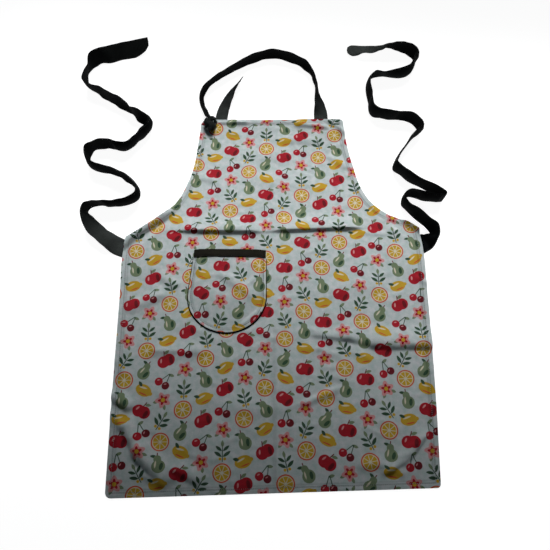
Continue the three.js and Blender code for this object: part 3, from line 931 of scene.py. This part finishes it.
def flat_coordinates(places, heights):
    """Coordinates on the flat cloth: a fold takes up the length that its slope adds."""
    run = np.linalg.norm(np.diff(places, axis=0), axis=-1)
    extra = np.cumsum(np.hypot(run, np.diff(heights, axis=0)) - run, axis=0)
    kernel = np.hanning(2 * PRINT_EASE + 3)[1:-1]
    flat = places.copy()
    flat[1:, :, 1] += [eased(row, kernel) for row in extra]
    return flat


def make_body(material):
    places = body_grid()
    outline = outline_of(places)
    edge = distance_to(outline, places)
    x, y = places[..., 0], places[..., 1]
    floor = body_floor(x, y)
    top = body_top(x, y, edge)
    flat = flat_coordinates(places, floor)
    # A darker line down the middle where the cloth was pressed, carried in the same mark as the painted
    # shade
    pressed = bell(x, *PRESSED_DARKENING) * smooth((PRESSED_TOP - y) / PRESSED_FADE)
    seam = np.maximum(painted_seam_shade(edge, HEM_WIDTH, HEM_STITCH), pressed)
    return sheet_mesh("apron_body_cloth", places, floor, top, flat, seam, material), outline


def inset_line(line, distance, closed, reach=2):
    """A line moved to its left by a distance."""
    after = np.roll(line, -reach, axis=0) if closed else np.vstack([line[reach:], line[-reach:]])
    before = np.roll(line, reach, axis=0) if closed else np.vstack([line[:reach], line[:-reach]])
    along = unit(after - before)
    return line + distance * np.stack([-along[:, 1], along[:, 0]], -1)


def stitches_on_top(name, line, height, material):
    path = np.column_stack([line, height])
    return stitch_mesh(name, [(path, np.tile(UP, (len(path), 1)))], material)


def hem_stitches(outline, material):
    line = inset_line(outline, HEM_STITCH, True)
    line = np.vstack([line, line[:1]])
    height = body_top(line[:, 0], line[:, 1], HEM_STITCH)
    return stitches_on_top("hem_stitches", line, height, material)


# Pocket

def pocket_low_edge(across):
    depth = POCKET_ROUND_Y - POCKET_BOTTOM_Y
    return POCKET_ROUND_Y - depth * np.sqrt(np.maximum(0.0, 1 - across**2))


def pocket_place(across, up):
    """Place on the floor of a point of the pocket: across from -1 to 1, up from 0 at its seam to 1."""
    mouth = mix(POCKET_MOUTH_LEFT_Y, POCKET_MOUTH_RIGHT_Y, (across + 1) / 2)
    y = mix(pocket_low_edge(across), mouth, up)
    side_share = (y - POCKET_ROUND_Y) / (mouth - POCKET_ROUND_Y)
    left = mix(POCKET_LEFT, POCKET_MOUTH_LEFT, smooth(side_share))
    return mix(left, POCKET_RIGHT, (across + 1) / 2), y


def pocket_back(across, up):
    """Height of the pocket's underside, off the body inside its seam."""
    x, y = pocket_place(across, up)
    stand_off = POCKET_ROOM * (1 - across**POCKET_FLATNESS) * smooth(up / POCKET_RISE_SHARE)
    return body_top(x, y, FAR_INSIDE) + GAP + stand_off


def pocket_seam(side_points=60, round_points=160):
    """The pocket's sewn edge, from its top left round to its top right."""
    sides = np.linspace(1.0, 0.0, side_points)
    angles = np.linspace(-math.pi / 2, math.pi / 2, round_points)
    across = np.concatenate([-np.ones_like(sides), np.sin(angles), np.ones_like(sides)])
    up = np.concatenate([sides, np.zeros_like(angles), sides[::-1]])
    line = np.column_stack(pocket_place(across, up))
    keep = np.concatenate([[True], np.linalg.norm(np.diff(line, axis=0), axis=1) > TINY])
    return each_millimetre(line[keep])


def pocket_thickness(x, y, edge):
    return hem_thickness(x, y, edge, POCKET_HEM, POCKET_HEM_RISE, POCKET_STITCH)


def make_pocket(material):
    angles = np.linspace(-math.pi / 2, math.pi / 2, POCKET_COLUMNS + 1)
    up, across = np.meshgrid(np.linspace(0, 1, POCKET_ROWS + 1), np.sin(angles), indexing="ij")
    x, y = pocket_place(across, up)
    places = np.dstack([x, y])
    back = pocket_back(across, up)
    edge = distance_to(pocket_seam(), places)
    front = back + pocket_thickness(x, y, edge)
    flat = places + np.array(POCKET_PRINT_SHIFT)
    # Shade painted along the pocket's stitches and at the foot of its hem
    seam = painted_seam_shade(edge, POCKET_HEM, POCKET_STITCH)
    return sheet_mesh("pocket_cloth", places, back, front, flat, seam, material)


def pocket_stitches(material):
    """Topstitching inside the pocket's seam, up to the band."""
    line = inset_line(pocket_seam(), POCKET_STITCH, False)
    line = line[line[:, 1] < POCKET_MOUTH_RIGHT_Y - BAND_HEIGHT]
    x, y = line[:, 0], line[:, 1]
    across = np.clip(2 * (x - POCKET_LEFT) / (POCKET_RIGHT - POCKET_LEFT) - 1, -1, 1)
    seam = pocket_low_edge(across)
    up = (y - seam) / (POCKET_MOUTH_LEFT_Y - seam)
    height = pocket_back(across, up) + pocket_thickness(x, y, POCKET_STITCH)
    return stitches_on_top("pocket_stitches", line, height, material)


def make_band(material):
    """Band folded over the pocket's mouth."""
    face = GAP + 0.2
    outer = face + BAND_THICK
    low = -BAND_HEIGHT
    # Section: up from the mouth, height, and if that is above the front (1) or the back (0)
    section = [
        (low, face, 1), (low - 0.3, face + BAND_THICK / 2, 1), (low + 0.2, outer, 1),
        (low + 1.6, outer - 0.05, 1), (low + 2.2, outer - 0.4, 1), (low + 2.8, outer - 0.05, 1),
        (low * 0.6, outer + 0.15, 1), (low * 0.3, outer + 0.15, 1), (-0.6, outer, 1),
        (GAP + 0.6, outer - 0.5, 1), (GAP + 1.1, face - 0.3, 1), (GAP + 1.1, 0.3, 0), (GAP + 0.6, 0.0, 0),
        (GAP, 0.3, 0), (GAP, face, 1), (-0.3, face, 1),
    ]
    section += [(low * share, face, 1) for share in (0.2, 0.4, 0.6, 0.8)]
    across = np.linspace(-1, 1, BAND_POINTS)
    ends = 1 - np.exp(-(1 - np.abs(across)) / BAND_END)
    lines, flat = [], []
    seam = pocket_seam()
    mouth_y = pocket_place(across, np.ones_like(across))[1]
    seam_y = pocket_low_edge(across)
    for up, lift, on_front in section:
        share = np.minimum(1.0, 1 + up / (mouth_y - seam_y))
        x, y = pocket_place(across, share)
        cover = pocket_thickness(x, y, distance_to(seam, np.column_stack([x, y])))
        bumps = uneven(BAND_BUMPS, x, np.full_like(x, up)) * (lift > face) * ends
        height = pocket_back(across, share) + cover * on_front + lift + bumps
        wander = uneven(BAND_WANDER, x, np.zeros_like(x))
        lines.append(np.column_stack([x, mouth_y + up + wander, height]))
        flat.append(np.column_stack([x, np.full_like(x, up + lift)]))
    painted_light_and_paleness = np.full_like(across, BAND_PALENESS)
    return sweep_mesh("pocket_band_cloth", lines[::-1], flat[::-1], painted_light_and_paleness, material)


def make_edging(material):
    """Thin black edge round the pocket's seam, partly the black lining showing and partly painted shade:
    it widens round the bottom, where the pocket's shadow falls.
    """
    seam = pocket_seam()
    seam = seam[seam[:, 1] < POCKET_MOUTH_RIGHT_Y - BAND_HEIGHT - GAP]
    above, over = EDGING_WIDENS
    low = smooth((POCKET_ROUND_Y + above - seam[:, 1]) / over)
    half = mix(EDGING_SIDE_WIDTH, EDGING_LOW_WIDTH, low) / 2
    outward = inset_line(seam, -1.0, False) - seam
    middle = seam + outward * (half + 2 * GAP)[:, None]
    along = lengths_along(seam)
    lines, flat = [], []
    for angle in ring(EDGING_SECTION):
        across = half * math.cos(angle)
        place = middle + outward * across[:, None]
        height = body_top(place[:, 0], place[:, 1], FAR_INSIDE) + GAP
        height += EDGING_HEIGHT * (0.5 + 0.5 * math.sin(angle))
        lines.append(np.column_stack([place, height]))
        flat.append(np.column_stack([along, across]))
    return sweep_mesh("pocket_edging_cord", lines, flat, np.zeros_like(along), material)


# Straps

STRAP_ACROSS = np.array([-1.0, -0.985, -0.93, -0.86, -0.8, -0.5, 0.0, 0.5, 0.8, 0.86, 0.93, 0.985, 1.0])


def strap_frames(rows):
    """Middle, direction and tilt along a strap, at even steps."""
    curve, spans = spline([row[:2] for row in rows])
    length = lengths_along(curve)
    count = int(round(length[-1] / STRAP_STEP))
    places = np.linspace(0.0, length[-1], count + 1)
    middle = at_lengths(curve, places)
    along = unit(np.gradient(middle, axis=0))
    span = np.interp(places, length, spans)
    first = np.minimum(span.astype(int), len(rows) - 2)
    tilts = np.array([row[2] for row in rows], float)
    tilt = mix(tilts[first], tilts[first + 1], smooth(span - first))
    return places, middle, along, np.radians(tilt)


def strap_cup(places, along, tilt, width):
    """How far the middle of a strap bows, out of its bends where it stands and up in its twists."""
    heading = np.unwrap(np.arctan2(along[:, 1], along[:, 0]))
    steps, ease_width = STRAP_EASE
    kernel = bell(np.arange(-steps, steps + 1) * STRAP_STEP, 1.0, ease_width)
    bend = eased(np.gradient(heading, places), kernel)
    gentle, sharp = STRAP_SHARP_BEND
    share = bend / (np.abs(bend) + 1.0 / STRAP_CUP_BEND)
    share *= smooth((sharp - np.abs(bend)) / (sharp - gentle))
    twist = eased(np.abs(np.gradient(tilt, places)), kernel)
    bent = STRAP_CUP * share * np.sin(tilt) ** 2 * (width / WAIST_TIE_WIDTH)
    return width * (bent + STRAP_TWIST_CUP * twist / (twist + STRAP_TWIST))


def end_reach(end, across):
    """How far a strap reaches past the end of its path, across its width."""
    if end == "slant":
        length, past, power = SLANT
        return length * (past - ((1 - across) / 2) ** power)
    if end == "round":
        length, power = ROUND
        return -length * abs(across) ** power
    return 0.0


def strap_points(rows, width, end, seed, across, layer):
    """Points of a strap: across from -1 to 1 at each step, on its upper (1) or lower (-1) layer."""
    places, middle, along, tilt = strap_frames(rows)
    to_end = places[-1] - places
    level = np.zeros_like(places)
    free = smooth((places - STRAP_SEWN) / STRAP_SETTLE)
    near_end = smooth((STRAP_SETTLE - to_end) / STRAP_SETTLE)
    ripple = free * (1 - near_end)
    wide = width * (1 + ripple * uneven(STRAP_BREADTH, places, level, seed))
    if end == "knot":
        wide = wide * (1 - STRAP_BUNCHED * near_end)
    tilt = tilt + ripple * uneven(STRAP_SWAY, places, level, seed)
    to_left = np.column_stack([-along[:, 1], along[:, 0], level])
    c, s = np.cos(tilt)[:, None], np.sin(tilt)[:, None]
    over = c * to_left + s * UP
    face = c * UP - s * to_left
    rest = (width / 2) * np.abs(s) + (STRAP_THICK / 2) * np.abs(c)
    centre = np.column_stack([middle, rest])
    forward = np.column_stack([along, level])
    reach = end_reach(end, across) * smooth((STRAP_SHAPED - to_end) / STRAP_SHAPED)
    sunk = bell((1 - abs(across)) * width / 2 - STRAP_STITCH, *STRAP_GROOVE)
    past_edge = max(0.0, (abs(across) - STRAP_EDGE) / (1 - STRAP_EDGE))
    thick = STRAP_THICK / 2 * math.sqrt(max(0.0, 1 - past_edge**2)) - sunk
    side = np.full_like(places, across * width / 2)
    bowed = uneven(STRAP_BOW, places, level, seed) + strap_cup(places, along, tilt, width)
    crumple = uneven(STRAP_CRUMPLE, places, side, seed)
    off = layer * thick + free * (bowed * (1 - across**2) + crumple)
    points = centre + over * (across * wide / 2)[:, None] + face * off[:, None]
    points += forward * reach[:, None]
    points[:, 2] = np.maximum(points[:, 2], 0.0)
    return points, np.column_stack([places, side]), face * layer


def make_strap(name, rows, width, end, seed, material):
    around = [(s, 1) for s in STRAP_ACROSS] + [(s, -1) for s in STRAP_ACROSS[-2:0:-1]]
    lines, flat, _ = zip(*(strap_points(rows, width, end, seed, *place) for place in reversed(around)))
    places, _, _, tilt = strap_frames(rows)
    # Painted light: a strap is painted paler where it lies flat and its face is lit, and darker where it
    # stands on edge
    painted_light_and_paleness = np.maximum(np.cos(tilt), 0.0) ** FLAT_LIT_POWER
    if end == "round":
        # Painted light: the round tip lies flat and lit, so it is painted paler still
        most, start, fade = TIP_PAINTED_LIGHT
        painted_light_and_paleness += most * smooth((places - places[-1] + start) / fade)
    return sweep_mesh(name, lines, flat, painted_light_and_paleness, material)


def strap_stitch_lines(rows, width, end, seed):
    """Topstitching along both edges of a strap, on both its faces."""
    across = 1 - STRAP_STITCH / (width / 2)
    inner = slice(STRAP_BARE, -STRAP_BARE)
    lines = []
    for side in (-across, across):
        for layer in (-1, 1):
            points, _, up = strap_points(rows, width, end, seed, side, layer)
            lines.append((points[inner], up[inner]))
    return lines


def make_knot(material):
    """A strand of bunched strap wound three times through itself."""
    turn = ring(KNOT_STEPS)
    reach = np.array(KNOT_REACH)
    path = np.column_stack([
        KNOT_SPREAD * (np.sin(turn) + 2 * np.sin(2 * turn)) / 3,
        (np.cos(turn) - 2 * np.cos(2 * turn)) / 3,
        -np.sin(3 * turn),
    ]) * reach
    along = unit(np.roll(path, -1, axis=0) - np.roll(path, 1, axis=0))
    outward = path / reach**2
    outward -= np.sum(outward * along, axis=1, keepdims=True) * along
    outward = unit(outward)
    side = np.cross(along, outward)
    half_width, half_thick = KNOT_STRAND
    lengthwise, crosswise = KNOT_PLEATS
    lines, flat = [], []
    for angle in ring(KNOT_SECTION):
        pleats = 1 + lengthwise * np.sin(5 * angle + 2 * np.sin(2 * turn))
        pleats += crosswise * np.sin(7 * turn + 3 * angle)
        across = half_width * math.cos(angle) * pleats
        lift = half_thick * math.sin(angle) * pleats
        lines.append(path + side * across[:, None] + outward * lift[:, None] + np.array(KNOT_MIDDLE))
        flat.append(np.column_stack([turn * KNOT_FLAT, np.full_like(turn, half_width * angle)]))
    # Painted light: turns of the knot are painted paler or darker, as lit or shaded
    painted_light_and_paleness = KNOT_PAINTED_LIGHT[0] + KNOT_PAINTED_LIGHT[1] * np.sin(3 * turn)
    return sweep_mesh("neck_knot_strand", lines, flat, painted_light_and_paleness, material, closed=True)


# Camera, floor and light

PHOTO_SIDE = 550.0  # pixels
FOCAL_LENGTH = 570.0  # pixels
SENSOR = 36.0
CAMERA_PLACE = (0.0, -435.5, 1104.8)
CAMERA_DOWN = 68.486  # degrees below the horizon
FLOOR_HALF = 40.0  # metres
FLOOR_BELOW = 0.0004  # metres under the apron
FLOOR_COLOUR = (0.35, 0.35, 0.35, 1.0)
FLOOR_GLOW = 0.95
SKY_COLOUR = (0.82, 1.0, 1.06, 1.0)
SKY_STRENGTH = 0.03
BACKDROP_COLOUR = (0.93, 0.93, 0.93, 1.0)


def make_camera():
    data = bpy.data.cameras.new("camera")
    data.sensor_width = SENSOR
    data.lens = SENSOR * FOCAL_LENGTH / PHOTO_SIDE
    camera = add_object("camera", data)
    camera.location = Vector(to_row(CAMERA_PLACE))
    camera.rotation_euler = (math.radians(90.0 - CAMERA_DOWN), 0.0, 0.0)
    bpy.context.scene.camera = camera


def make_floor():
    """A floor that glows, so that it is white and takes hardly any shadow."""
    mesh = bpy.data.meshes.new("floor")
    square = ((-1, -1), (1, -1), (1, 1), (-1, 1))
    corners = [(x * FLOOR_HALF, y * FLOOR_HALF, -FLOOR_BELOW) for x, y in square]
    mesh.from_pydata(corners, [], [(0, 1, 2, 3)])
    material, _, shader = new_material("pale_floor", roughness=0.9, specular=0.1, sheen=0.0)
    set_inputs(shader, {"Base Color": FLOOR_COLOUR, "Emission Strength": FLOOR_GLOW})
    set_inputs(shader, {"Emission Color": (1.0, 1.0, 1.0, 1.0)})
    mesh.materials.append(material)
    floor = add_object("floor", mesh)


def add_light(name, place, aim, size, power, spread):
    data = bpy.data.lights.new(name, "AREA")
    data.shape = "RECTANGLE"
    data.size, data.size_y = size
    data.energy = power
    data.spread = math.radians(spread)
    light = add_object(name, data)
    light.location = place
    light.rotation_euler = (Vector(aim) - Vector(place)).to_track_quat("-Z", "Y").to_euler()
    light.visible_camera = False


def make_lights():
    """A low window beyond the bib, a weak fill, and a sky dimmer than the backdrop."""
    add_light("window", place=(0.2, 0.95, 0.9), aim=(0.1, 0.075, 0.0), size=(1.6, 0.4),
              power=3.2, spread=37.5)
    add_light("fill", place=(0.0, -0.3, 2.4), aim=(0.0, 0.1, 0.0), size=(2.0, 2.0),
              power=0.25, spread=120.0)
    world = bpy.data.worlds.new("studio")
    world.use_nodes = True
    tree = world.node_tree
    sky = tree.nodes["Background"]
    set_inputs(sky, {"Color": SKY_COLOUR, "Strength": SKY_STRENGTH})
    backdrop = tree.nodes.new("ShaderNodeBackground")
    set_inputs(backdrop, {"Color": BACKDROP_COLOUR})
    seen = tree.nodes.new("ShaderNodeLightPath")
    both = tree.nodes.new("ShaderNodeMixShader")
    tree.links.new(seen.outputs["Is Camera Ray"], both.inputs[0])
    tree.links.new(sky.outputs[0], both.inputs[1])
    tree.links.new(backdrop.outputs[0], both.inputs[2])
    tree.links.new(both.outputs[0], tree.nodes["World Output"].inputs["Surface"])
    bpy.context.scene.world = world
    bpy.context.scene.view_settings.view_transform = "Standard"


# The apron

def settle(piece, slot, *nodes):
    """The piece rides on the apron and stands for those solids."""
    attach(piece, "root")
    if nodes:
        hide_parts(*nodes)
    return piece


make_camera()
make_floor()
make_lights()

print_cloth = printed_cotton()
black_cloth = twill_cotton("black_cotton", dark=(0.0008, 0.0012, 0.0017), light=(0.088, 0.098, 0.093))
band_cloth = twill_cotton("band_cotton", dark=(0.006, 0.0055, 0.0042), light=(0.054, 0.05, 0.037))
pale_thread = thread_material("pale_thread", (0.40, 0.43, 0.44), (0.58, 0.60, 0.60))
dark_thread = thread_material("dark_thread", (0.02, 0.021, 0.021), (0.05, 0.052, 0.052))

body, body_outline = make_body(print_cloth)
settle(body, "printed_cotton", "apron_body")
body_seam = settle(hem_stitches(body_outline, pale_thread), "printed_cotton")

pocket = settle(make_pocket(print_cloth), "printed_cotton", "pocket")
pocket_seam_stitches = settle(pocket_stitches(dark_thread), "black_cotton")
band = settle(make_band(band_cloth), "band_cotton", "pocket_band")
edging = settle(make_edging(black_cloth), "black_cotton", "pocket_edging")

# Straps: node, path, width, shape of the free end and seed
STRAPS = [
    ("neck_strap", NECK_STRAP, NECK_STRAP_WIDTH, "knot", 31),
    ("neck_strap_tail", NECK_TAIL, NECK_TAIL_WIDTH, "plain", 37),
    ("waist_tie_left", WAIST_TIE_LEFT, WAIST_TIE_WIDTH, "slant", 41),
    ("waist_tie_right", WAIST_TIE_RIGHT, WAIST_TIE_WIDTH, "round", 43),
]
knot = settle(make_knot(black_cloth), "black_cotton", "neck_knot")
for node, rows, width, end, seed in STRAPS:
    strap = make_strap(node + "_cloth", rows, width, end, seed, black_cloth)
    settle(strap, "black_cotton", node)
    lines = strap_stitch_lines(rows, width, end, seed)
    seam = settle(stitch_mesh(node + "_stitches", lines, dark_thread), "black_cotton")
    length = strap_frames(rows)[0][-1] * MM
